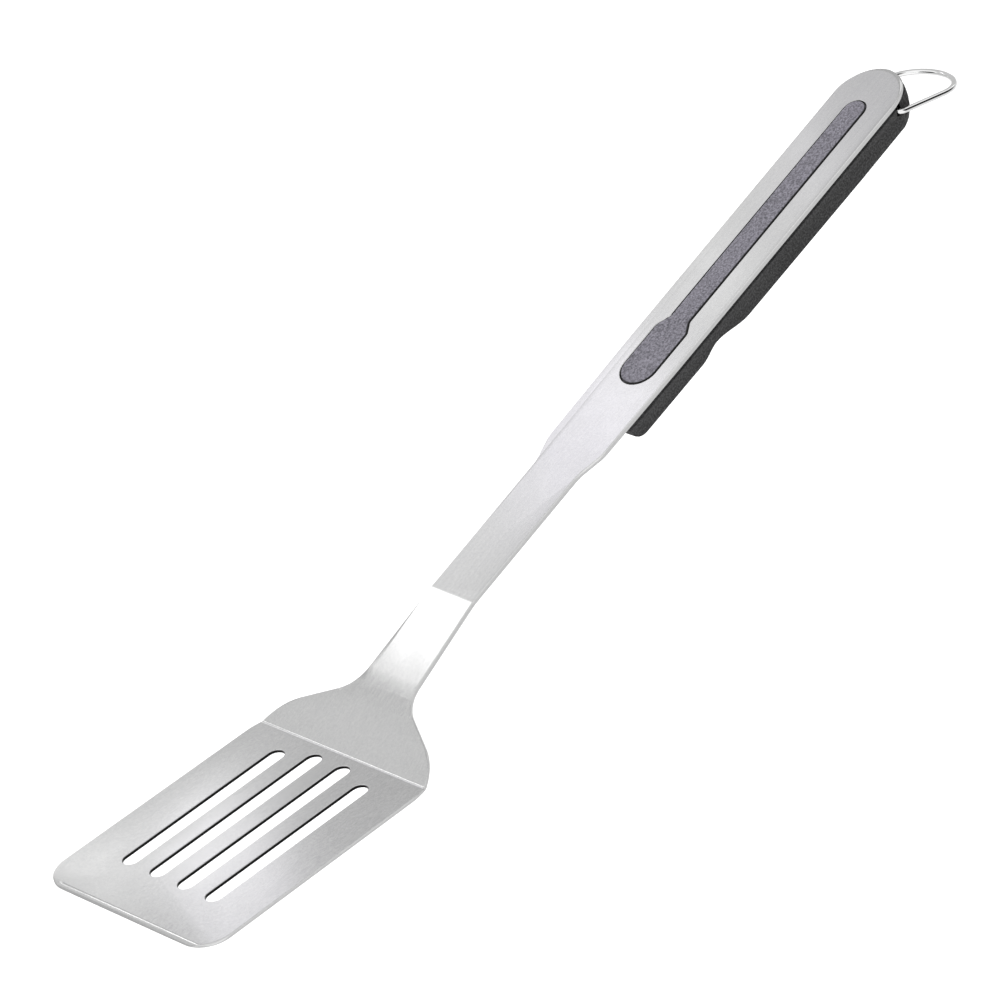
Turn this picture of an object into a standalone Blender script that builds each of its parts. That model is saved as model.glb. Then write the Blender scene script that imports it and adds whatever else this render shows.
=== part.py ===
"""Grill spatula: one folded steel sheet, a screwed-on grip with a raised inlay, and a swinging wire loop.

Everything is built along the handle's own line: stations run from near the handle's rear end towards the
blade's tip, a point's X is minus its station, Y is across, and Z = 0 is the top of the handle plate.
One empty then tips that line so the spatula lies on the grip's underside and the blade's crease.
"""
import math

import bmesh
import bpy
import numpy as np
from mathutils import Matrix, Vector

MM = 0.001
GAP = 0.3                      # clearance kept between pieces that touch
SHORTEST_EDGE = 0.02           # outline points closer than this are one point

# ---- steel sheet (millimetres, stations along the flat sheet) ----
SHEET = 2.2                    # thickness of the handle
BLADE_SHEET = 1.6              # thickness of the blade
EDGE_ROUND = 0.3               # broken edge of the stamping
PLATE_REAR, PLATE_HALF = -0.4, 15.4     # handle plate: rear end and half width of its top
REAR_LEAN = 1.8                # the plate's rear edge leans out this far on its way down
PLATE_TAPER_START = 150.0
PLATE_END, PLATE_END_HALF = 197.5, 14.8
SHANK_START, SHANK_HALF = 209.0, 11.45
BEND_1, BEND_2, CREASE = 273.5, 325.0, 346.85
TIP = 457.65
FLARE_START, FLARE_START_HALF = 319.9, 14.0
FLARE_END, BLADE_HALF, TIP_HALF = 340.0, 46.25, 46.95
CORNER_ROUND = 12.0
TIP_GRIND, TIP_EDGE = 2.4, 0.7  # length of the ground front edge, and the thickness left at it
# each fold: station, degrees it turns downwards, radius of the sheet's top
FOLDS = ((BEND_1, 5.5, 16.0), (BEND_2, 5.15, 310.0), (CREASE, -28.1, 3.0))

# ---- blade slots: half width, ends, and the two distances from the middle ----
SLOT_HALF = 3.5
SLOT_TIP_END = 435.8
SLOT_ROWS = ((7.8, 351.3), (23.35, 356.3))

# ---- key-shaped inlay and its window ----
INLAY_REAR, INLAY_FRONT = 16.1, 165.0
INLAY_HALF, INLAY_WIDE_HALF = 4.8, 7.9
INLAY_STEP_START, INLAY_STEP_END = 132.0, 137.2
INLAY_RISE = 0.4               # height above the plate
INLAY_ROUND = 0.35
WINDOW_GAP = 0.5               # open groove round the inlay
FLANGE_WIDTH, FLANGE_THICK = 1.6, 1.5
INLAY_POST_STATIONS = (48.0, 104.0)

# ---- grip ----
GRIP_HALF = PLATE_HALF - 0.2
GRIP_REAR, GRIP_FRONT = -1.9, 182.5
GRIP_DEPTH = 13.25             # below the plate's top, at the rear end of the flat underside
GRIP_EDGE_ROUND = 0.9
GRIP_NOSE_LENGTH, GRIP_NOSE_HEIGHT = 5.0, 10.0   # the rear end curves under over this quarter ellipse
GRIP_FLAT_START = GRIP_REAR + GRIP_NOSE_LENGTH
GRIP_FRONT_ROUND = 6.0
GRIP_FRONT_RISE = 1.5          # how much shallower the grip is in front of the finger notch
NOTCH_START, NOTCH_DEEP, NOTCH_END = 113.5, 131.5, 141.5
NOTCH_RISE = 3.7
GRIP_WALL = 2.2
GRIP_FLAT_END = NOTCH_START
RIM_WIDTH, RIM_DROP = 1.0, 0.9  # step round the grip's top that leaves a dark line under the plate
RIM_CHAMFER = 0.25

# ---- fixing screws and the threaded bosses they reach ----
BOSS_STATIONS = {"boss_rear": 8.0, "boss_front": 174.0}
BOSS_RADIUS, BOSS_HEIGHT = 2.9, 4.2
SCREW_RADIUS, SCREW_HEAD_RADIUS, SCREW_HEAD_HEIGHT = 1.5, 2.7, 1.7
COLUMN_RADIUS = 4.7
SCREW_RECESS = 2.6             # depth of the head's pocket in the underside

# ---- hanging loop ----
WIRE_RADIUS = 1.15
LOOP_STATION, LOOP_DROP = 12.6, 5.1     # hinge line, below the plate's top
LOOP_HALF, LOOP_LENGTH = 14.5, 38.5     # wire's middle: half width, hinge to far end
LOOP_SIDE_PLAY = -0.8          # the loop is pushed to one side of its bores
LOOP_DROOP = 28.0              # degrees the loop hangs below the handle's line
LOOP_END_Y = 6.0               # the turned-in ends stop here
POCKET_Y = 12.0                # the pockets that clear the wire reach in this far
LOOP_BEND = 2.6
SADDLE_CLEARANCE = 0.1


# ---------------------------------------------------------------- small tools
def make_material(name, colour, roughness, metallic):
    material = bpy.data.materials.new(name)
    material.use_nodes = True
    shader = material.node_tree.nodes["Principled BSDF"]
    shader.inputs["Base Color"].default_value = (*colour, 1.0)
    shader.inputs["Roughness"].default_value = roughness
    shader.inputs["Metallic"].default_value = metallic
    material.diffuse_color = (*colour, 1.0)
    return material


def link_object(name, data, collection, material=None):
    node = bpy.data.objects.new(name, data)
    collection.objects.link(node)
    if material is not None:
        data.materials.append(material)
    return node


def evaluated_mesh(node):
    """A plain mesh of an object with its curve settings and modifiers worked out."""
    graph = bpy.context.evaluated_depsgraph_get()
    return bpy.data.meshes.new_from_object(node.evaluated_get(graph))


def rounded_path(corners, arc_steps=8):
    """Points along a path whose inner corners are (station, y, radius) and are rounded by true arcs."""
    points = [Vector(corners[0][:2])]
    for before, corner, after in zip(corners, corners[1:], corners[2:]):
        here = Vector(corner[:2])
        back = (Vector(before[:2]) - here).normalized()
        ahead = (Vector(after[:2]) - here).normalized()
        half_angle = back.angle(ahead) / 2
        radius = corner[2]
        if radius == 0:
            points.append(here)
            continue
        centre = here + (back + ahead).normalized() * (radius / math.sin(half_angle))
        first = here + back * (radius / math.tan(half_angle)) - centre
        last = here + ahead * (radius / math.tan(half_angle)) - centre
        sweep = first.angle_signed(last)
        for step in range(arc_steps + 1):
            turn = Matrix.Rotation(-sweep * step / arc_steps, 2)
            points.append(centre + turn @ first)
    points.append(Vector(corners[-1][:2]))
    kept = [points[0]]
    for point in points[1:]:
        if (point - kept[-1]).length > SHORTEST_EDGE:
            kept.append(point)
    return kept


def closed_by_mirror(half):
    """A closed outline from a half path that starts and ends on the middle line."""
    return half + [Vector((point.x, -point.y)) for point in reversed(half[1:-1])]


def stadium(start, end, middle_y, half, arc_steps=10):
    """A slot's outline: two straight sides and two half-round ends."""
    points = []
    for station, first_turn in ((end - half, 0.0), (start + half, math.pi)):
        for step in range(arc_steps + 1):
            angle = first_turn - math.pi / 2 + math.pi * step / arc_steps
            points.append(Vector((station + half * math.cos(angle), middle_y + half * math.sin(angle))))
    return points


def flat_solid(outlines, thickness, edge_round, collection):
    """A flat piece from closed outlines (the first is the outside), with softly rounded edges, as a bmesh."""
    curve = bpy.data.curves.new("outline", "CURVE")
    curve.dimensions = "2D"
    curve.fill_mode = "BOTH"
    curve.extrude = thickness / 2 - edge_round
    curve.bevel_depth = edge_round
    curve.bevel_resolution = 0
    curve.offset = -edge_round
    for outline in outlines:
        spline = curve.splines.new("POLY")
        spline.points.add(len(outline) - 1)
        for point, place in zip(spline.points, outline):
            point.co = (place.x, place.y, 0.0, 1.0)
        spline.use_cyclic_u = True
    flat = link_object("flat", curve, collection)
    mesh = evaluated_mesh(flat)
    bpy.data.objects.remove(flat)
    bpy.data.curves.remove(curve)
    solid = bmesh.new()
    solid.from_mesh(mesh)
    bpy.data.meshes.remove(mesh)
    bmesh.ops.remove_doubles(solid, verts=solid.verts, dist=0.002)
    join_flat_faces(solid)
    return solid


def join_flat_faces(solid):
    """Merge the triangles of each flat area into a few large faces; edges marked as seams stay."""
    bmesh.ops.dissolve_limit(solid, angle_limit=math.radians(0.05), verts=[], edges=solid.edges[:],
                             delimit={"SEAM"})


def finish_mesh(solid, name, collection, material, smooth_angle=30.0):
    """Turn a bmesh in millimetres of handle line into a node."""
    bmesh.ops.scale(solid, vec=(MM, MM, MM), verts=solid.verts)
    bmesh.ops.recalc_face_normals(solid, faces=solid.faces)
    mesh = bpy.data.meshes.new(name)
    solid.to_mesh(mesh)
    solid.free()
    mesh.shade_smooth()
    mesh.set_sharp_from_angle(angle=math.radians(smooth_angle))
    return link_object(name, mesh, collection, material)


def add_boolean(node, operand, operation):
    """Join to a node, or cut from it, another object or every object of a collection."""
    boolean = node.modifiers.new(operation.lower(), "BOOLEAN")
    boolean.operation = operation
    boolean.solver = "EXACT"
    if isinstance(operand, bpy.types.Collection):
        boolean.operand_type = "COLLECTION"
        boolean.collection = operand
    else:
        boolean.object = operand


def sub_collection(name, parent):
    collection = bpy.data.collections.new(name)
    parent.children.link(collection)
    return collection


def lathe(name, profile, collection, material, steps=24, ring=False):
    """A turned solid about its own Z, from (radius, z) points listed down its outer side; a ring's are a loop."""
    mesh = bpy.data.meshes.new(name)
    points = [(radius * MM, 0.0, z * MM) for radius, z in profile]
    edges = [(index, index + 1) for index in range(len(points) - 1)]
    if ring:
        edges.append((len(points) - 1, 0))
    mesh.from_pydata(points, edges, [])
    node = link_object(name, mesh, collection, material)
    screw = node.modifiers.new("turn", "SCREW")
    screw.axis = "Z"
    screw.steps = steps
    screw.render_steps = steps
    screw.use_merge_vertices = True
    screw.merge_threshold = 0.00001
    screw.use_smooth_shade = True
    return node


def at_station(node, station, z=0.0, y=0.0):
    node.location = (-station * MM, y * MM, z * MM)


def tube(name, radius_outer, radius_inner, top, bottom, collection, material):
    """A ring standing along Z."""
    profile = [(radius_inner, top), (radius_outer, top), (radius_outer, bottom), (radius_inner, bottom)]
    return lathe(name, profile, collection, material, ring=True)


def cylinder(name, radius, top, bottom, collection, material=None):
    return lathe(name, [(0.0, top), (radius, top), (radius, bottom), (0.0, bottom)], collection, material)


def block(name, low, high, collection):
    """A box between two corners (station, y, z), in millimetres of handle line."""
    solid = bmesh.new()
    bmesh.ops.create_cube(solid, size=1.0)
    size = [b - a for a, b in zip(low, high)]
    middle = [(a + b) / 2 for a, b in zip(low, high)]
    bmesh.ops.scale(solid, vec=size, verts=solid.verts)
    bmesh.ops.translate(solid, vec=(-middle[0], middle[1], middle[2]), verts=solid.verts)
    return finish_mesh(solid, name, collection, None)


# ---------------------------------------------------------------- the folded sheet
def folded_line(station):
    """Place (x, z) and downward slope of the sheet's top at a station along the flat sheet."""
    x, z, slope = 0.0, 0.0, 0.0
    reached = 0.0
    for middle, degrees, radius in FOLDS:
        turn = math.radians(degrees)
        arc = abs(turn) * radius
        straight = min(station, middle - arc / 2) - reached
        x -= straight * math.cos(slope)
        z -= straight * math.sin(slope)
        reached += straight
        if station <= middle - arc / 2:
            return x, z, slope
        done = min(station - reached, arc)
        bent = slope + turn * done / arc
        bend_radius = math.copysign(radius, turn)
        x -= bend_radius * (math.sin(bent) - math.sin(slope))
        z += bend_radius * (math.cos(bent) - math.cos(slope))
        reached += done
        slope = bent
    x -= (station - reached) * math.cos(slope)
    z -= (station - reached) * math.sin(slope)
    return x, z, slope


def fold_point(station, y, height):
    """Where a point of the flat sheet goes; height is measured from the sheet's top."""
    x, z, slope = folded_line(station)
    return Vector((x - height * math.sin(slope), y, z + height * math.cos(slope)))


def rest_slope():
    """Slope of the line that touches the crease from below and ends under the rear of the grip."""
    x, z, slope = folded_line(CREASE)
    radius = FOLDS[2][2]
    centre = (x - radius * math.sin(slope), z + radius * math.cos(slope))
    reach_x = -GRIP_FLAT_START - centre[0]
    reach_z = centre[1] + GRIP_DEPTH
    outer = radius + BLADE_SHEET
    return math.atan2(reach_z, reach_x) - math.asin(outer / math.hypot(reach_x, reach_z))


def underside_height(station):
    """Z of the flat line the spatula rests on, seen from the handle."""
    return -GRIP_DEPTH + (station - GRIP_FLAT_START) * math.tan(REST_SLOPE)


REST_SLOPE = rest_slope()


def sheet_outline():
    """Half outline of the whole stamping, laid flat, from the rear end to the tip."""
    return rounded_path((
        (PLATE_REAR, 0.0),
        (PLATE_REAR, PLATE_HALF, PLATE_HALF),
        (PLATE_TAPER_START, PLATE_HALF, 300.0),
        (PLATE_END, PLATE_END_HALF, 18.0),
        (SHANK_START, SHANK_HALF, 18.0),
        (BEND_1, SHANK_HALF, 200.0),
        (FLARE_START, FLARE_START_HALF, 15.5),
        (FLARE_END, BLADE_HALF, 25.5),
        (TIP, TIP_HALF, CORNER_ROUND),
        (TIP, 0.0)), arc_steps=12)


def key_outline(grow=0.0):
    """Half outline of the key-shaped inlay, grown outwards by a margin."""
    narrow, wide = INLAY_HALF + grow, INLAY_WIDE_HALF + grow
    return rounded_path((
        (INLAY_REAR - grow, 0.0),
        (INLAY_REAR - grow, narrow, narrow),
        (INLAY_STEP_START, narrow, 3.5),
        (INLAY_STEP_END, wide, 3.5),
        (INLAY_FRONT + grow, wide, wide),
        (INLAY_FRONT + grow, 0.0)))


def fold_stations():
    """Stations where the sheet needs an edge across it so that it can be folded smoothly."""
    stations = [TIP - TIP_GRIND]
    for middle, degrees, radius in FOLDS:
        arc = abs(math.radians(degrees)) * radius
        stations += list(np.linspace(middle - arc / 2, middle + arc / 2, 5))
    return stations


def thin_blade(solid):
    """Bring the sheet's underside up to the blade's thickness along the second bend."""
    arc = math.radians(FOLDS[1][1]) * FOLDS[1][2]
    for vertex in solid.verts:
        if vertex.co.z < -SHEET / 2:
            share = min(max((vertex.co.x - (BEND_2 - arc / 2)) / arc, 0.0), 1.0)
            vertex.co.z += (SHEET - BLADE_SHEET) * share


def grind_tip(solid):
    """Thin the sheet's top towards the tip, as the front edge is ground."""
    for vertex in solid.verts:
        past = vertex.co.x - (TIP - TIP_GRIND)
        if past > 0 and vertex.co.z > -BLADE_SHEET / 2:
            lowered = (BLADE_SHEET - TIP_EDGE) * past / TIP_GRIND
            vertex.co.z = max(vertex.co.z - lowered, -BLADE_SHEET + EDGE_ROUND)


def lean_rear_edge(solid):
    """Let the plate's rounded rear edge swell outwards on its way down."""
    for vertex in solid.verts:
        share = (PLATE_REAR + PLATE_HALF - vertex.co.x) / PLATE_HALF
        if share > 0 and vertex.co.z < -EDGE_ROUND / 2:
            if vertex.co.z > -SHEET / 2:
                vertex.co.z -= REAR_LEAN * 0.25 * share
            depth = min(-vertex.co.z / (SHEET - EDGE_ROUND), 1.0)
            vertex.co.x -= REAR_LEAN * share * math.sqrt(depth * (2.0 - depth))


def make_spatula_body(collection, material):
    outlines = [closed_by_mirror(sheet_outline()), closed_by_mirror(key_outline(WINDOW_GAP))]
    for middle_y, start in SLOT_ROWS:
        for side in (1, -1):
            outlines.append(stadium(start, SLOT_TIP_END, side * middle_y, SLOT_HALF))
    solid = flat_solid(outlines, SHEET, EDGE_ROUND, collection)
    bmesh.ops.translate(solid, vec=(0, 0, -SHEET / 2), verts=solid.verts)
    for station in fold_stations():
        bmesh.ops.bisect_plane(solid, geom=solid.verts[:] + solid.edges[:] + solid.faces[:],
                               plane_co=(station, 0, 0), plane_no=(1, 0, 0), dist=0.0005)
    thin_blade(solid)
    grind_tip(solid)
    lean_rear_edge(solid)
    for vertex in solid.verts:
        vertex.co = fold_point(vertex.co.x, vertex.co.y, vertex.co.z)
    return finish_mesh(solid, "spatula_body", collection, material, smooth_angle=20.0)


# ---------------------------------------------------------------- the grip
def grip_bottom(station):
    """Z of the grip's underside along the middle, with the finger notch and the rounded ends."""
    bottom = underside_height(station)
    if NOTCH_START < station < NOTCH_DEEP:
        bottom += NOTCH_RISE * smooth_step((station - NOTCH_START) / (NOTCH_DEEP - NOTCH_START))
    elif station >= NOTCH_DEEP:
        settle = smooth_step((station - NOTCH_DEEP) / (NOTCH_END - NOTCH_DEEP))
        bottom += NOTCH_RISE + (GRIP_FRONT_RISE - NOTCH_RISE) * settle
    return bottom


def smooth_step(share):
    share = min(max(share, 0.0), 1.0)
    return share * share * (3 - 2 * share)


def nose_station(height, inset):
    """Station of the grip's rear end at a height above its underside."""
    share = min(height / GRIP_NOSE_HEIGHT, 1.0)
    return GRIP_REAR + inset + GRIP_NOSE_LENGTH * (1 - math.sqrt(share * (2 - share)))


def grip_half(station, height, inset):
    """Half width of the grip at a station and a height above its underside; the rear end is half-round."""
    half = GRIP_HALF - inset
    past_middle = nose_station(height, inset) + half - station
    if past_middle <= 0:
        return half
    return math.sqrt(max(half * half - past_middle * past_middle, 0.0))


def grip_lift(station, inset):
    """How far the ends' curves raise the underside at a station."""
    lift = 0.0
    past_nose = (GRIP_FLAT_START + inset - station) / GRIP_NOSE_LENGTH
    if past_nose > 0:
        lift += GRIP_NOSE_HEIGHT * (1 - math.sqrt(max(1 - past_nose * past_nose, 0.0)))
    past_front = station - (GRIP_FRONT - inset) + GRIP_FRONT_ROUND
    if past_front > 0:
        lift += GRIP_FRONT_ROUND - math.sqrt(max(GRIP_FRONT_ROUND ** 2 - past_front * past_front, 0.0))
    return lift


def grip_section(station, inset, top, edge_round, rim):
    """Half section (y, z) of the grip at a station, from its top edge round to its underside's middle."""
    floor = grip_bottom(station) + inset
    bottom = floor + grip_lift(station, inset)
    wall_top = top - RIM_DROP - RIM_CHAMFER if rim else top
    corner = min(edge_round, (wall_top - bottom) * 0.3)
    heights = [wall_top - (wall_top - bottom - corner) * step / 4 for step in range(5)]
    heights += [bottom + corner * (1 - math.sin(math.radians(angle))) for angle in (30, 60, 90)]
    points = []
    for z in heights:
        past_corner = max(bottom + corner - z, 0.0)
        tuck = corner - math.sqrt(max(corner * corner - past_corner * past_corner, 0.0))
        half = grip_half(station, max(z - floor, 0.0), inset)
        points.append((half - min(tuck, half * 0.5), z))
    if rim:
        half = points[0][0]
        step_y, chamfer_y = half - min(RIM_WIDTH, half * 0.4), half - min(RIM_CHAMFER, half * 0.1)
        points[:0] = [(step_y, top), (step_y, top - RIM_DROP), (chamfer_y, top - RIM_DROP)]
    points.append((0.0, bottom))
    return points


def grip_loft(name, inset, top, edge_round, collection, material, rim=False):
    """The grip's outer body, or with an inset the hollow inside it."""
    rear, front = GRIP_REAR + inset, GRIP_FRONT - inset
    half = GRIP_HALF - inset
    stations = [rear + half * (1 - math.cos(math.radians(angle))) for angle in range(9, 90, 9)]
    stations += [rear + half, 40.0, 70.0, 95.0]
    stations += list(np.linspace(NOTCH_START, NOTCH_DEEP, 9))
    stations += list(np.linspace(NOTCH_DEEP, NOTCH_END, 8))[1:]
    stations += [158.0]
    rounding = (0.0, 0.25, 0.5, 0.7, 0.85, 0.95, 0.995)
    stations += [front - GRIP_FRONT_ROUND + GRIP_FRONT_ROUND * share for share in rounding]
    solid = bmesh.new()
    rings = []
    for station in stations:
        right = grip_section(station, inset, top, edge_round, rim)
        section = right + [(-y, z) for y, z in reversed(right[:-1])]
        rings.append([solid.verts.new((-station, y, z)) for y, z in section])
    for ring, after in zip(rings, rings[1:]):
        count = len(ring)
        for index in range(count):
            following = (index + 1) % count
            solid.faces.new((ring[index], ring[following], after[following], after[index]))
    solid.faces.new(rings[0])
    solid.faces.new(rings[-1])
    return finish_mesh(solid, name, collection, material)


def screw_stations():
    return sorted([*BOSS_STATIONS.values(), *INLAY_POST_STATIONS])


def add_columns(fills):
    """Solid columns standing on the grip's floor under each boss and inlay post."""
    for station in screw_stations():
        column = cylinder(f"column_{station:.0f}", COLUMN_RADIUS, boss_foot() - GAP,
                          underside_height(station) + GRIP_WALL / 2, fills)
        at_station(column, station)


def add_screw_pockets(cuts):
    """Through hole and head pocket for each screw, open to the underside."""
    for station in screw_stations():
        seat = screw_seat(station)
        hole, pocket = SCREW_RADIUS + GAP, SCREW_HEAD_RADIUS + GAP
        below = -GRIP_DEPTH - 3.0
        profile = [(0.0, 0.0), (hole, 0.0), (hole, seat), (pocket, seat), (pocket, below), (0.0, below)]
        at_station(lathe(f"screw_pocket_{station:.0f}", profile, cuts, None), station)


def add_loop_seats(fills, cuts, top):
    """Saddles that carry the loop's turned-in ends, and the pockets they come in by."""
    saddle_end = GRIP_HALF - GRIP_WALL - 1.6
    reach = WIRE_RADIUS + 0.35
    for side in (1, -1):
        inner, outer = sorted((side * LOOP_END_Y * 0.75, side * saddle_end))
        block(f"saddle_{side}", (LOOP_STATION - 2.6, inner, underside_height(LOOP_STATION) + 1.0),
              (LOOP_STATION + 2.6, outer, top - 0.4), fills)
        near, far = sorted((side * POCKET_Y, side * (GRIP_HALF + 4.0)))
        pocket = block(f"wire_pocket_{side}", (-25.0, near, -reach), (reach, far, 12.0), cuts)
        at_station(pocket, LOOP_STATION, -LOOP_DROP)
        pocket.rotation_euler = (0, math.radians(LOOP_DROOP), 0)
    bore = cylinder("wire_bore", WIRE_RADIUS + SADDLE_CLEARANCE, GRIP_HALF, -GRIP_HALF, cuts)
    bore.rotation_euler = (math.radians(90), 0, 0)
    at_station(bore, LOOP_STATION, -LOOP_DROP)


def make_grip_shell(collection, cutters, material):
    top = -SHEET - GAP
    shell = grip_loft("grip_shell", 0.0, top, GRIP_EDGE_ROUND, collection, material, rim=True)
    fills = sub_collection("shell_fills", cutters)
    cuts = sub_collection("shell_cuts", cutters)
    add_columns(fills)
    add_screw_pockets(cuts)
    add_loop_seats(fills, cuts, top)
    add_boolean(shell, grip_loft("grip_hollow", GRIP_WALL, top + 2.0, 1.2, cutters, None), "DIFFERENCE")
    add_boolean(shell, fills, "UNION")
    add_boolean(shell, cuts, "DIFFERENCE")
    return shell


def boss_foot():
    """Z of the lower end of each threaded boss and inlay post."""
    return -SHEET - GAP - BOSS_HEIGHT


def screw_seat(station):
    """Z of the shoulder under which a screw's head sits."""
    return underside_height(station) + SCREW_RECESS


# ---------------------------------------------------------------- inlay, bosses, screws
def make_grip_inlay(collection, cutters, material):
    foot = -SHEET - GAP - FLANGE_THICK
    sunk = foot + FLANGE_THICK / 3
    solid = flat_solid([closed_by_mirror(key_outline())], INLAY_RISE - sunk, INLAY_ROUND, collection)
    bmesh.ops.translate(solid, vec=(0, 0, (INLAY_RISE + sunk) / 2), verts=solid.verts)
    bmesh.ops.scale(solid, vec=(-1, 1, 1), verts=solid.verts)
    inlay = finish_mesh(solid, "grip_inlay", collection, material)
    flange = flat_solid([closed_by_mirror(key_outline(FLANGE_WIDTH))], FLANGE_THICK, 0.2, cutters)
    bmesh.ops.translate(flange, vec=(0, 0, foot + FLANGE_THICK / 2), verts=flange.verts)
    bmesh.ops.scale(flange, vec=(-1, 1, 1), verts=flange.verts)
    fills = sub_collection("inlay_fills", cutters)
    cuts = sub_collection("inlay_cuts", cutters)
    finish_mesh(flange, "inlay_flange", fills, None)
    for station in INLAY_POST_STATIONS:
        post = cylinder(f"inlay_post_{station:.0f}", BOSS_RADIUS, foot + 0.5, boss_foot(), fills)
        bore = cylinder(f"inlay_bore_{station:.0f}", SCREW_RADIUS + GAP, foot + 1.4, boss_foot() - 1.0, cuts)
        at_station(post, station)
        at_station(bore, station)
    add_boolean(inlay, fills, "UNION")
    add_boolean(inlay, cuts, "DIFFERENCE")
    return inlay


def make_boss(name, station, collection, material):
    """A short threaded ring welded under the plate."""
    boss = tube(name, BOSS_RADIUS, SCREW_RADIUS + GAP, -SHEET - GAP, boss_foot(), collection, material)
    at_station(boss, station)
    return boss


def make_screw(name, station, collection, cutters, material):
    """A pan-head screw driven up from the underside, with a cross recess."""
    seat = screw_seat(station) - GAP / 2
    head = seat - SCREW_HEAD_HEIGHT
    tip = -SHEET - GAP - 1.0
    profile = [(0.0, tip), (SCREW_RADIUS - 0.4, tip), (SCREW_RADIUS, tip - 0.5), (SCREW_RADIUS, seat),
               (SCREW_HEAD_RADIUS, seat), (SCREW_HEAD_RADIUS, head + 0.5), (SCREW_HEAD_RADIUS - 0.5, head),
               (0.0, head)]
    screw = lathe(name, profile, collection, material)
    at_station(screw, station)
    for index, (length, width) in enumerate(((3.0, 0.7), (0.7, 3.0))):
        bar = block(f"{name}_cross_{index}", (station - length / 2, -width / 2, head - 1.0),
                    (station + length / 2, width / 2, head + 1.0), cutters)
        add_boolean(screw, bar, "DIFFERENCE")
    return screw


# ---------------------------------------------------------------- hanging loop
def loop_outline():
    """Middle of the wire from one turned-in end round to the other, as (reach, y) from the hinge line."""
    straight = LOOP_LENGTH - LOOP_HALF
    half = [Vector((0.0, LOOP_END_Y))]
    for step in range(7):
        angle = math.pi / 2 * step / 6
        half.append(Vector((LOOP_BEND - LOOP_BEND * math.cos(angle),
                            LOOP_HALF - LOOP_BEND + LOOP_BEND * math.sin(angle))))
    for step in range(13):
        angle = math.pi / 2 * step / 12
        half.append(Vector((straight + LOOP_HALF * math.sin(angle), LOOP_HALF * math.cos(angle))))
    return half + [Vector((point.x, -point.y)) for point in reversed(half[:-1])]


def make_hanging_loop(collection, material):
    curve = bpy.data.curves.new("hanging_loop_wire", "CURVE")
    curve.dimensions = "3D"
    curve.bevel_depth = WIRE_RADIUS * MM
    curve.bevel_resolution = 3
    curve.use_fill_caps = True
    path = loop_outline()
    spline = curve.splines.new("POLY")
    spline.points.add(len(path) - 1)
    for point, place in zip(spline.points, path):
        point.co = (place.x * MM, place.y * MM, 0.0, 1.0)
    wire = link_object("wire_curve", curve, collection)
    mesh = evaluated_mesh(wire)
    bpy.data.objects.remove(wire)
    bpy.data.curves.remove(curve)
    solid = bmesh.new()
    solid.from_mesh(mesh)
    bpy.data.meshes.remove(mesh)
    bmesh.ops.remove_doubles(solid, verts=solid.verts, dist=0.00001)
    bmesh.ops.scale(solid, vec=(1 / MM, 1 / MM, 1 / MM), verts=solid.verts)
    loop = finish_mesh(solid, "hanging_loop", collection, material, smooth_angle=50.0)
    at_station(loop, LOOP_STATION, -LOOP_DROP, LOOP_SIDE_PLAY)
    loop.rotation_euler = (0, math.radians(LOOP_DROOP), 0)
    return loop


# ---------------------------------------------------------------- assembly
def rest_frame(collection):
    """The empty that carries the handle's line into the resting frame, origin under the grip."""
    middle = (GRIP_FLAT_START + GRIP_FLAT_END) / 2
    frame = bpy.data.objects.new("rest_frame", None)
    collection.objects.link(frame)
    tip_over = Matrix.Rotation(-REST_SLOPE, 4, "Y")
    foot = tip_over @ Vector((-middle * MM, 0, underside_height(middle) * MM))
    frame.matrix_world = Matrix.Translation(-foot) @ tip_over
    return frame


def build():
    for node in list(bpy.data.objects):
        bpy.data.objects.remove(node)
    parts = bpy.data.collections.new("grill_spatula")
    cutters = bpy.data.collections.new("cutters")
    for collection in (parts, cutters):
        bpy.context.scene.collection.children.link(collection)
    steel = make_material("brushed_steel", (0.66, 0.66, 0.65), 0.32, 1.0)
    grip = make_material("grip_plastic", (0.055, 0.055, 0.057), 0.6, 0.0)
    inlay = make_material("inlay_rubber", (0.19, 0.185, 0.205), 0.7, 0.0)
    zinc = make_material("screw_steel", (0.5, 0.5, 0.5), 0.4, 1.0)
    wire = make_material("bright_wire", (0.78, 0.78, 0.78), 0.12, 1.0)

    nodes = [
        make_spatula_body(parts, steel),
        make_grip_shell(parts, cutters, grip),
        make_grip_inlay(parts, cutters, inlay),
        make_hanging_loop(parts, wire),
    ]
    for name, station in BOSS_STATIONS.items():
        nodes.append(make_boss(name, station, parts, zinc))
    for number, station in enumerate(screw_stations(), start=1):
        nodes.append(make_screw(f"grip_screw_{number}", station, parts, cutters, zinc))

    frame = rest_frame(parts)
    for node in [*nodes, *cutters.all_objects]:
        node.parent = frame
    for cutter in cutters.all_objects:
        cutter.hide_render = True
        cutter.display_type = "WIRE"
    bpy.context.view_layer.update()


build()
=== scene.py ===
"""Looks of the grill spatula: smooth copies of the solids, their finishes, a floor and studio light."""
import math

import bmesh
import bpy
from mathutils import Matrix, Vector


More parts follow.
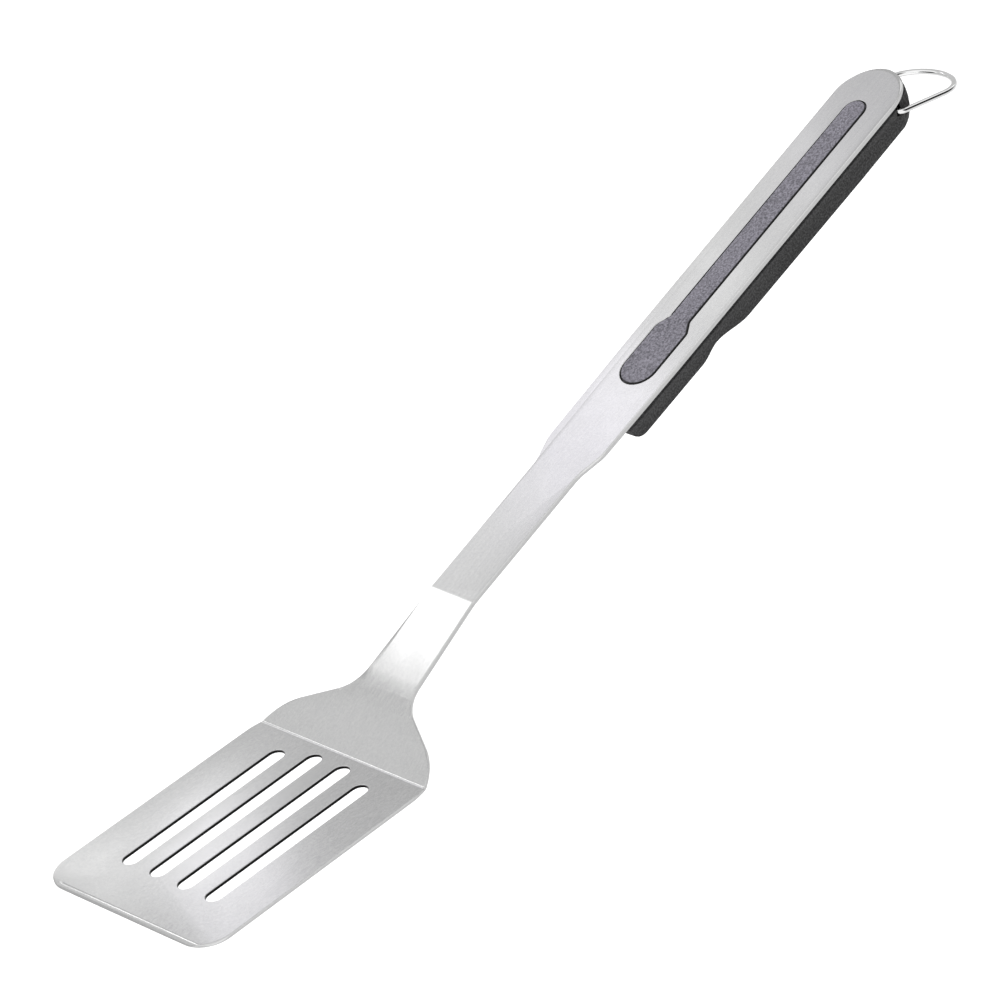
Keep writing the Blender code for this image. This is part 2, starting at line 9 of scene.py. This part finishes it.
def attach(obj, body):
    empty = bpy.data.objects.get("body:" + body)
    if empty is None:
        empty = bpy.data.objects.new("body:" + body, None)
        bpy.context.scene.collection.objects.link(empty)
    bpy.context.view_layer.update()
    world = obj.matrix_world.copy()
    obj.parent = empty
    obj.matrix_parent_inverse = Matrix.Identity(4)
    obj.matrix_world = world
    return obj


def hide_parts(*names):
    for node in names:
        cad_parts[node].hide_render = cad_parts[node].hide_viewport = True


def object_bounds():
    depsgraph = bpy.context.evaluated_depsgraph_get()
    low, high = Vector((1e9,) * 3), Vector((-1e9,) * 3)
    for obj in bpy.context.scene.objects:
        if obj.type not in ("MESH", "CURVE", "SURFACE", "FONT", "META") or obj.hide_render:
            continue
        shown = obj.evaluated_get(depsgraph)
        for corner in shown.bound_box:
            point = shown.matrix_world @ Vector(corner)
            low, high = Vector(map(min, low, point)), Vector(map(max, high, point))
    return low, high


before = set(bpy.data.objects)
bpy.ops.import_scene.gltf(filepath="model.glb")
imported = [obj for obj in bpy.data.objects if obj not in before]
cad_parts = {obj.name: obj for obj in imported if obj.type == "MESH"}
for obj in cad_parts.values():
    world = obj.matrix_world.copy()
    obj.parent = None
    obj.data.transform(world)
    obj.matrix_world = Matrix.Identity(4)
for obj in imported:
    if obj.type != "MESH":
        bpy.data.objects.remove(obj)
cad_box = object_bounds()

MM = 0.001

# ---- smooth copies of the solids (angles in degrees) ----
WELD_DISTANCE = 0.002 * MM     # corners closer than this become one
FLAT_ANGLE = 0.07              # faces that meet at less than this become one
SHARP_ANGLE = 50.0             # edges where faces meet at more than this stay sharp
FACE_WEIGHT = 85               # how far large faces lead in the shading, where 50 is neutral

# ---- camera: where it aims on the spatula, and where it stands from there (m and degrees) ----
CAMERA_AIM = Vector((-171.03, 14.13, 10.0)) * MM
CAMERA_DISTANCE = 2.6154
CAMERA_AZIMUTH, CAMERA_ELEVATION, CAMERA_ROLL = -25.482, 39.541, -32.991
CAMERA_LENS, CAMERA_SENSOR = 252.0, 36.0

# ---- studio ----
FLOOR_DROP = 0.35              # the floor lies this far below the spatula
FLOOR_SIZE = 14.0
SKY_LIGHT = 0.61               # what the metal mirrors from above
GROUND_LIGHT = 0.85            # what it mirrors from below
HORIZON = -0.30                # height of the direction where ground and sky meet
HORIZON_BLUR = 0.15            # they blend over this much above and below it
FRONT_GAIN = 1.7               # the room is this much brighter on the camera's side
FRONT_START = 80.0             # it starts to brighten at this angle from the camera's direction
FRONT_END = 65.0               # and has its full light from this angle inwards
TOP_LIGHT = 2.0                # sun from straight above, which the metal doesn't mirror
TOP_LIGHT_WIDTH = 35.0         # how wide the sun is, in degrees, for soft shadows
WHITE = (1.0, 1.0, 1.0)
LILAC = (0.93, 0.90, 1.0)


def sheet_normal(slope):
    """The way the folded sheet's top faces where it has this slope, in degrees."""
    tilt = math.radians(slope)
    return Vector((-math.sin(tilt), 0.0, math.cos(tilt)))


PLATE, MIDDLE, NECK = sheet_normal(0.46), sheet_normal(4.75), sheet_normal(11.11)
CREASE, BLADE = sheet_normal(2.0), sheet_normal(-17.0)
REAR_RIM = Vector((0.49, -0.60, 0.63))

# softboxes: name, the point that mirrors it to the camera (mm) and the way the steel faces there,
# distance and size (m), power (W), colour
BOXES = (
    ("rear_box", (35, 0, 13), PLATE, 0.6, (0.10, 0.12), 0.0065, LILAC),
    ("handle_box", (-20, 0, 13), PLATE, 0.6, (0.10, 0.12), 0.0103, WHITE),
    ("front_box", (-80, 0, 13), PLATE, 0.6, (0.10, 0.12), 0.0125, WHITE),
    ("badge_box", (-133, 0, 13), PLATE, 0.6, (0.09, 0.12), 0.0215, LILAC),
    ("shank_box", (-202, 0, 12), PLATE, 0.6, (0.10, 0.12), 0.0120, WHITE),
    ("middle_box", (-230, 0, 9), MIDDLE, 0.9, (0.09, 0.16), 0.0600, WHITE),
    ("neck_box", (-275, 0, 4), NECK, 0.6, (0.12, 0.15), 0.0125, WHITE),
    ("crease_box", (-288, 0, 2), CREASE, 0.8, (0.06, 0.24), 0.0240, WHITE),
    ("root_box", (-302, 32, 6), BLADE, 0.5, (0.06, 0.06), 0.0015, WHITE),
    ("left_box", (-345, 32, 19), BLADE, 0.5, (0.06, 0.06), 0.0031, WHITE),
    ("bars_box", (-354, -4, 22), BLADE, 0.5, (0.06, 0.06), 0.0036, WHITE),
    ("right_box", (-366, -30, 25), BLADE, 0.5, (0.06, 0.06), 0.0042, LILAC),
    ("tip_box", (-388, 38, 32), BLADE, 0.5, (0.06, 0.06), 0.0072, WHITE),
    ("rim_box", (56, -10, 12), REAR_RIM, 0.4, (0.30, 0.30), 0.14, WHITE),
)

# ---- colours: a finish that has two runs from the first to the second ----
STEEL_COLOURS = (0.59, 0.59, 0.595), (0.69, 0.69, 0.685)
GRIP_COLOURS = (0.001, 0.001, 0.001), (0.052, 0.052, 0.053)
INLAY_COLOURS = (0.046, 0.044, 0.054), (0.214, 0.205, 0.240)
WIRE_COLOURS = (0.82, 0.82, 0.82), (0.92, 0.92, 0.92)
FIXING_COLOURS = (0.42, 0.42, 0.43), (0.56, 0.56, 0.55)
FLOOR_COLOUR = (0.9, 0.9, 0.9)
# painted shade: the near-black colour of the sheet's cut walls
CUT_WALL_PAINTED_SHADE = (0.012, 0.012, 0.012)
# painted shade: the near-black colour of the inlay's side walls
INLAY_WALL_PAINTED_SHADE = (0.004, 0.004, 0.004)
# painted reflection: the dark band along the wire
WIRE_PAINTED_REFLECTION = (0.03, 0.03, 0.03)

# ---- fineness of the finishes' noise (cells per metre) ----
BRUSH_LINES = (60.0, 1400.0, 1400.0)    # long along the handle and thin across it
STEEL_CLOUDS, STEEL_GRAIN = 70.0, 1000.0
MOULD_GRAIN = 1250.0                    # the grip and the inlay have the same one
GRIP_PATCHES, INLAY_PATCHES = 45.0, 60.0
WIRE_MARKS, WIRE_CLOUDS = 900.0, 120.0
FIXING_CLOUDS = 500.0

# ---- height of the finishes' relief (mm) ----
STEEL_RELIEF = 0.0015
GRIP_RELIEF, INLAY_RELIEF = 0.05, 0.04
WIRE_RELIEF, FIXING_RELIEF = 0.004, 0.01

# ---- the painted dark reflection along the wire ----
REFLECTION_SIDE = Vector((0.235, -0.864, 0.444))   # the side of the wire that it runs along
REFLECTION_HALF, REFLECTION_FADE = 14.0, 26.0            # fully dark and quite gone at these angles from there

# ---- painted shade on walls: how far up a face still counts as a wall, and from where it counts as a top ----
SHEET_WALL, SHEET_TOP = 0.4, 0.7
INLAY_WALL, INLAY_TOP = 0.5, 0.9

# ---- the cut openings of the sheet, whose walls get painted shade (mm) ----
BLADE_START = -285.0           # the slots lie in front of this place, the inlay's window behind it
SLOTS_HALF = 29.0              # the slots lie this near the middle line
WINDOW_HALF = 9.2              # and the window this near

# ---- each visible piece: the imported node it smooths, its body, its material slot ----
PIECES = {
    "steel_sheet": ("spatula_body", "spatula", "brushed_steel"),
    "moulded_grip": ("grip_shell", "spatula", "grip_plastic"),
    "soft_inlay": ("grip_inlay", "spatula", "inlay_rubber"),
    "wire_loop": ("hanging_loop", "loop", "bright_wire"),
    "rear_boss": ("boss_rear", "spatula", "fixing_steel"),
    "front_boss": ("boss_front", "spatula", "fixing_steel"),
    **{f"screw_{number}": (f"grip_screw_{number}", "spatula", "fixing_steel") for number in (1, 2, 3, 4)},
}


# ---------------------------------------------------------------- node helpers
def new_material(name):
    """An empty finish, its node tree and its shader."""
    material = bpy.data.materials.new(name)
    material.use_nodes = True
    return material, material.node_tree, material.node_tree.nodes["Principled BSDF"]


def add_node(tree, kind, **settings):
    """A shader node with its settings; a setting whose name is an input's goes to that input."""
    node = tree.nodes.new(kind)
    for name, value in settings.items():
        label = name.replace("_", " ").title()
        if hasattr(node, name):
            setattr(node, name, value)
        else:
            node.inputs[label].default_value = value
    return node


def noise(tree, vector, scale, detail=3.0, roughness=0.5):
    """A cloudy value around 0.5."""
    node = add_node(tree, "ShaderNodeTexNoise", scale=scale, detail=detail, roughness=roughness)
    tree.links.new(vector, node.inputs["Vector"])
    return node.outputs["Fac"]


def stretched(tree, vector, scale):
    """The same coordinates squeezed or stretched along each axis."""
    node = add_node(tree, "ShaderNodeMapping")
    node.inputs["Scale"].default_value = scale
    tree.links.new(vector, node.inputs["Vector"])
    return node.outputs["Vector"]


def spread(tree, value, low, high, from_low=0.3, from_high=0.7):
    """Map one range, by default the middle of a noise, onto another and stop at its ends."""
    node = add_node(tree, "ShaderNodeMapRange")
    node.inputs["From Min"].default_value = from_low
    node.inputs["From Max"].default_value = from_high
    node.inputs["To Min"].default_value = low
    node.inputs["To Max"].default_value = high
    tree.links.new(value, node.inputs["Value"])
    return node.outputs["Result"]


def combine(tree, operation, first, second):
    """The result of a calculation with two values, each a number or a socket."""
    node = add_node(tree, "ShaderNodeMath", operation=operation)
    for socket, value in zip(node.inputs, (first, second)):
        if isinstance(value, (int, float)):
            socket.default_value = value
        else:
            tree.links.new(value, socket)
    return node.outputs["Value"]


def mix_colours(tree, share, first, second):
    """From a fixed colour at 0 to a fixed or a worked-out one at 1."""
    node = add_node(tree, "ShaderNodeMix", data_type="RGBA")
    tree.links.new(share, node.inputs["Factor"])
    node.inputs["A"].default_value = (*first, 1.0)
    if isinstance(second, bpy.types.NodeSocket):
        tree.links.new(second, node.inputs["B"])
    else:
        node.inputs["B"].default_value = (*second, 1.0)
    return node.outputs["Result"]


def cosine(degrees):
    return math.cos(math.radians(degrees))


def closeness(tree, direction, centre):
    """The cosine of the angle between a socket's direction and a fixed one."""
    node = add_node(tree, "ShaderNodeVectorMath", operation="DOT_PRODUCT")
    node.inputs[1].default_value = centre
    tree.links.new(direction, node.inputs[0])
    return node.outputs["Value"]


def bump(tree, shader, height, relief):
    """Give the surface a relief of this many mm where the height goes from 0 to 1."""
    node = add_node(tree, "ShaderNodeBump")
    node.inputs["Distance"].default_value = relief * MM
    tree.links.new(height, node.inputs["Height"])
    tree.links.new(node.outputs["Normal"], shader.inputs["Normal"])


def coordinates(tree):
    """The place on the piece, in metres."""
    return add_node(tree, "ShaderNodeTexCoord").outputs["Object"]


def upward(tree):
    """How far the surface faces up: 1 straight up, 0 sideways, -1 straight down."""
    facing = add_node(tree, "ShaderNodeSeparateXYZ")
    tree.links.new(add_node(tree, "ShaderNodeNewGeometry").outputs["Normal"], facing.inputs["Vector"])
    return facing.outputs["Z"]


def sharp_edge_ramp(tree, most, start, full):
    """0 on level faces, rising to the most on edges, between these two values of their sharpness."""
    sharpness = add_node(tree, "ShaderNodeNewGeometry").outputs["Pointiness"]
    return spread(tree, sharpness, 0.0, most, start, full)


# ---------------------------------------------------------------- finishes
def away_from_painted_wall_shade(tree, place):
    """0 on the cut walls of the slots and of the inlay's window, which get painted shade, 1 everywhere else.
    """
    spot = add_node(tree, "ShaderNodeSeparateXYZ")
    tree.links.new(place, spot.inputs["Vector"])
    on_blade = combine(tree, "LESS_THAN", spot.outputs["X"], BLADE_START * MM)
    reach = combine(tree, "MULTIPLY", on_blade, (SLOTS_HALF - WINDOW_HALF) * MM)
    reach = combine(tree, "ADD", reach, WINDOW_HALF * MM)
    side = combine(tree, "ABSOLUTE", spot.outputs["Y"], 0.0)
    outside = combine(tree, "GREATER_THAN", side, reach)
    flatness = combine(tree, "ABSOLUTE", upward(tree), 0.0)
    level = spread(tree, flatness, 0.0, 1.0, SHEET_WALL, SHEET_TOP)
    return combine(tree, "MAXIMUM", outside, level)


def brushed_steel():
    """Satin stainless sheet: fine lines along the handle, cloudy polish, edges worn bright, and painted
    shade on the cut walls.
    """
    material, tree, shader = new_material("brushed_steel_finish")
    place = coordinates(tree)
    lines = noise(tree, stretched(tree, place, BRUSH_LINES), 1.0, detail=2.0)
    clouds = noise(tree, place, STEEL_CLOUDS, detail=4.0, roughness=0.6)
    grain = noise(tree, place, STEEL_GRAIN, detail=3.0, roughness=0.7)
    tone = combine(tree, "ADD", spread(tree, grain, 0.0, 0.6), spread(tree, lines, 0.0, 0.4))
    colour = mix_colours(tree, tone, *STEEL_COLOURS)
    # painted shade: the cut walls of the slots and of the window turn near black
    colour = mix_colours(tree, away_from_painted_wall_shade(tree, place), CUT_WALL_PAINTED_SHADE, colour)
    tree.links.new(colour, shader.inputs["Base Color"])
    rough = combine(tree, "ADD", spread(tree, clouds, 0.17, 0.20), spread(tree, lines, -0.01, 0.015))
    rough = combine(tree, "SUBTRACT", rough, sharp_edge_ramp(tree, 0.05, 0.55, 0.75))
    tree.links.new(rough, shader.inputs["Roughness"])
    shader.inputs["Metallic"].default_value = 1.0
    height = combine(tree, "ADD", spread(tree, lines, 0.0, 0.5), spread(tree, grain, 0.0, 0.5))
    bump(tree, shader, height, STEEL_RELIEF)
    return material


def grip_plastic():
    """Dark moulded plastic with a fine sparked grain and a faint painted highlight on its sharp edges."""
    material, tree, shader = new_material("grip_plastic_finish")
    place = coordinates(tree)
    grain = noise(tree, place, MOULD_GRAIN, detail=2.0, roughness=0.7)
    patches = noise(tree, place, GRIP_PATCHES)
    tone = combine(tree, "ADD", spread(tree, grain, 0.0, 0.9, 0.40, 0.66), spread(tree, patches, 0.0, 0.1))
    # painted highlight: the sharp edges get a paler colour
    tone = combine(tree, "ADD", tone, sharp_edge_ramp(tree, 0.4, 0.52, 0.65))
    tree.links.new(mix_colours(tree, tone, *GRIP_COLOURS), shader.inputs["Base Color"])
    tree.links.new(spread(tree, grain, 0.5, 0.66), shader.inputs["Roughness"])
    shader.inputs["Specular IOR Level"].default_value = 0.3
    bump(tree, shader, grain, GRIP_RELIEF)
    return material


def inlay_rubber():
    """Grey-violet soft insert with a fine matte grain, and painted shade on its side walls."""
    material, tree, shader = new_material("inlay_rubber_finish")
    place = coordinates(tree)
    grain = noise(tree, place, MOULD_GRAIN, detail=2.0, roughness=0.7)
    patches = noise(tree, place, INLAY_PATCHES)
    tone = combine(tree, "ADD", spread(tree, grain, 0.0, 0.85, 0.36, 0.64), spread(tree, patches, 0.0, 0.15))
    # painted shade: the side walls turn near black, the top keeps the insert's colour
    on_top = spread(tree, upward(tree), 0.0, 1.0, INLAY_WALL, INLAY_TOP)
    colour = mix_colours(tree, on_top, INLAY_WALL_PAINTED_SHADE, mix_colours(tree, tone, *INLAY_COLOURS))
    tree.links.new(colour, shader.inputs["Base Color"])
    tree.links.new(spread(tree, grain, 0.62, 0.8), shader.inputs["Roughness"])
    shader.inputs["Sheen Weight"].default_value = 0.15
    bump(tree, shader, grain, INLAY_RELIEF)
    return material


def bright_wire():
    """Bright drawn wire with faint draw marks, and a painted dark reflection along one side of it."""
    material, tree, shader = new_material("bright_wire_finish")
    place = coordinates(tree)
    marks = noise(tree, place, WIRE_MARKS, detail=2.0)
    clouds = noise(tree, place, WIRE_CLOUDS, detail=2.0)
    colour = mix_colours(tree, spread(tree, clouds, 0.0, 1.0), *WIRE_COLOURS)
    facing = add_node(tree, "ShaderNodeTexCoord").outputs["Normal"]
    # painted reflection: a dark band on the side of the wire that faces this way
    near_reflection = closeness(tree, facing, REFLECTION_SIDE)
    off_reflection = spread(tree, near_reflection, 1.0, 0.0, cosine(REFLECTION_FADE), cosine(REFLECTION_HALF))
    tree.links.new(mix_colours(tree, off_reflection, WIRE_PAINTED_REFLECTION, colour), shader.inputs["Base Color"])
    tree.links.new(spread(tree, marks, 0.04, 0.09), shader.inputs["Roughness"])
    shader.inputs["Metallic"].default_value = 1.0
    bump(tree, shader, marks, WIRE_RELIEF)
    return material


def fixing_steel():
    """Plain zinc-grey steel of the screws and bosses."""
    material, tree, shader = new_material("fixing_steel_finish")
    place = coordinates(tree)
    clouds = noise(tree, place, FIXING_CLOUDS)
    colour = mix_colours(tree, spread(tree, clouds, 0.0, 1.0), *FIXING_COLOURS)
    tree.links.new(colour, shader.inputs["Base Color"])
    tree.links.new(spread(tree, clouds, 0.32, 0.46), shader.inputs["Roughness"])
    shader.inputs["Metallic"].default_value = 1.0
    bump(tree, shader, clouds, FIXING_RELIEF)
    return material


def floor_white():
    """Matte white."""
    material, tree, shader = new_material("floor_white")
    shader.inputs["Base Color"].default_value = (*FLOOR_COLOUR, 1.0)
    shader.inputs["Roughness"].default_value = 1.0
    return material


# ---------------------------------------------------------------- pieces
def smooth_copy(node_name, piece_name, body, material):
    """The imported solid's shape as one welded mesh with smooth round faces, shown in its place."""
    shape = bmesh.new()
    shape.from_mesh(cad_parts[node_name].data)
    bmesh.ops.remove_doubles(shape, verts=shape.verts, dist=WELD_DISTANCE)
    bmesh.ops.dissolve_limit(shape, angle_limit=math.radians(FLAT_ANGLE), verts=[], edges=shape.edges[:])
    mesh = bpy.data.meshes.new(piece_name)
    shape.to_mesh(mesh)
    shape.free()
    mesh.shade_smooth()
    mesh.set_sharp_from_angle(angle=math.radians(SHARP_ANGLE))
    piece = bpy.data.objects.new(piece_name, mesh)
    bpy.context.scene.collection.objects.link(piece)
    mesh.materials.append(material)
    normals = piece.modifiers.new("even_shading", "WEIGHTED_NORMAL")
    normals.keep_sharp = True
    normals.weight = FACE_WEIGHT
    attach(piece, body)
    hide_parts(node_name)


def make_pieces():
    """Every visible piece, in its finish."""
    finishes = {
        "brushed_steel": brushed_steel(),
        "grip_plastic": grip_plastic(),
        "inlay_rubber": inlay_rubber(),
        "bright_wire": bright_wire(),
        "fixing_steel": fixing_steel(),
    }
    for piece_name, (node_name, body, slot) in PIECES.items():
        smooth_copy(node_name, piece_name, body, finishes[slot])


# ---------------------------------------------------------------- studio
def camera_back():
    """The direction from the spatula to the camera."""
    azimuth = math.radians(CAMERA_AZIMUTH)
    elevation = math.radians(CAMERA_ELEVATION)
    across = math.cos(elevation)
    return Vector((math.sin(azimuth) * across, -math.cos(azimuth) * across, math.sin(elevation)))


def camera_place():
    return CAMERA_AIM + camera_back() * CAMERA_DISTANCE


def make_camera():
    """The camera, aimed at the spatula from in front and above, and rolled."""
    data = bpy.data.cameras.new("camera")
    data.lens = CAMERA_LENS
    data.sensor_width = CAMERA_SENSOR
    camera = bpy.data.objects.new("camera", data)
    bpy.context.scene.collection.objects.link(camera)
    back = camera_back()
    level = back.to_track_quat("Z", "Y").to_matrix().to_4x4()
    roll = Matrix.Rotation(math.radians(CAMERA_ROLL), 4, back)
    camera.matrix_world = Matrix.Translation(camera_place()) @ roll @ level
    bpy.context.scene.camera = camera


def make_floor():
    """A plain floor well below the spatula, which the metal doesn't mirror."""
    mesh = bpy.data.meshes.new("floor")
    half = FLOOR_SIZE / 2
    corners = [(x, y, 0.0) for x, y in ((-half, -half), (half, -half), (half, half), (-half, half))]
    mesh.from_pydata(corners, [], [(0, 1, 2, 3)])
    floor = bpy.data.objects.new("floor", mesh)
    bpy.context.scene.collection.objects.link(floor)
    floor.location.z = cad_box[0].z - FLOOR_DROP
    floor.visible_glossy = False
    mesh.materials.append(floor_white())


def make_sky():
    """White behind everything; to light it, a sky, a brighter ground, and more light from in front."""
    world = bpy.data.worlds.new("studio")
    bpy.context.scene.world = world
    world.use_nodes = True
    tree = world.node_tree
    direction = add_node(tree, "ShaderNodeTexCoord").outputs["Generated"]
    height = add_node(tree, "ShaderNodeSeparateXYZ")
    tree.links.new(direction, height.inputs["Vector"])
    level = spread(tree, height.outputs["Z"], GROUND_LIGHT, SKY_LIGHT,
                   HORIZON - HORIZON_BLUR, HORIZON + HORIZON_BLUR)
    gain = spread(tree, closeness(tree, direction, camera_back()), 1.0, FRONT_GAIN,
                  cosine(FRONT_START), cosine(FRONT_END))
    level = combine(tree, "MULTIPLY", level, gain)
    rays = add_node(tree, "ShaderNodeLightPath")
    white = combine(tree, "MAXIMUM", level, rays.outputs["Is Camera Ray"])
    tree.links.new(white, tree.nodes["Background"].inputs["Strength"])
    tree.nodes["Background"].inputs["Color"].default_value = (*WHITE, 1.0)


def mirrored_from(point, normal):
    """The direction from which a surface facing this way mirrors light to the camera."""
    to_camera = (camera_place() - point).normalized()
    facing = normal.normalized()
    return 2.0 * facing.dot(to_camera) * facing - to_camera


def softbox(name, point, direction, distance, size, power, colour):
    """An area light facing a point from a direction."""
    data = bpy.data.lights.new(name, "AREA")
    data.shape = "ELLIPSE"
    data.size, data.size_y = size
    data.energy = power
    data.color = colour
    light = bpy.data.objects.new(name, data)
    bpy.context.scene.collection.objects.link(light)
    light.location = point + direction * distance
    light.rotation_mode = "QUATERNION"
    light.rotation_quaternion = direction.to_track_quat("Z", "Y")
    light.visible_camera = False


def make_lights():
    """The sun and the softboxes."""
    top = bpy.data.lights.new("top_light", "SUN")
    top.energy = TOP_LIGHT
    top.angle = math.radians(TOP_LIGHT_WIDTH)
    sun = bpy.data.objects.new("top_light", top)
    sun.visible_glossy = False
    bpy.context.scene.collection.objects.link(sun)
    for name, place, normal, distance, size, power, colour in BOXES:
        point = Vector(place) * MM
        softbox(name, point, mirrored_from(point, normal), distance, size, power, colour)


make_camera()
make_sky()
make_floor()
make_lights()
make_pieces()
bpy.context.scene.view_settings.view_transform = "Standard"
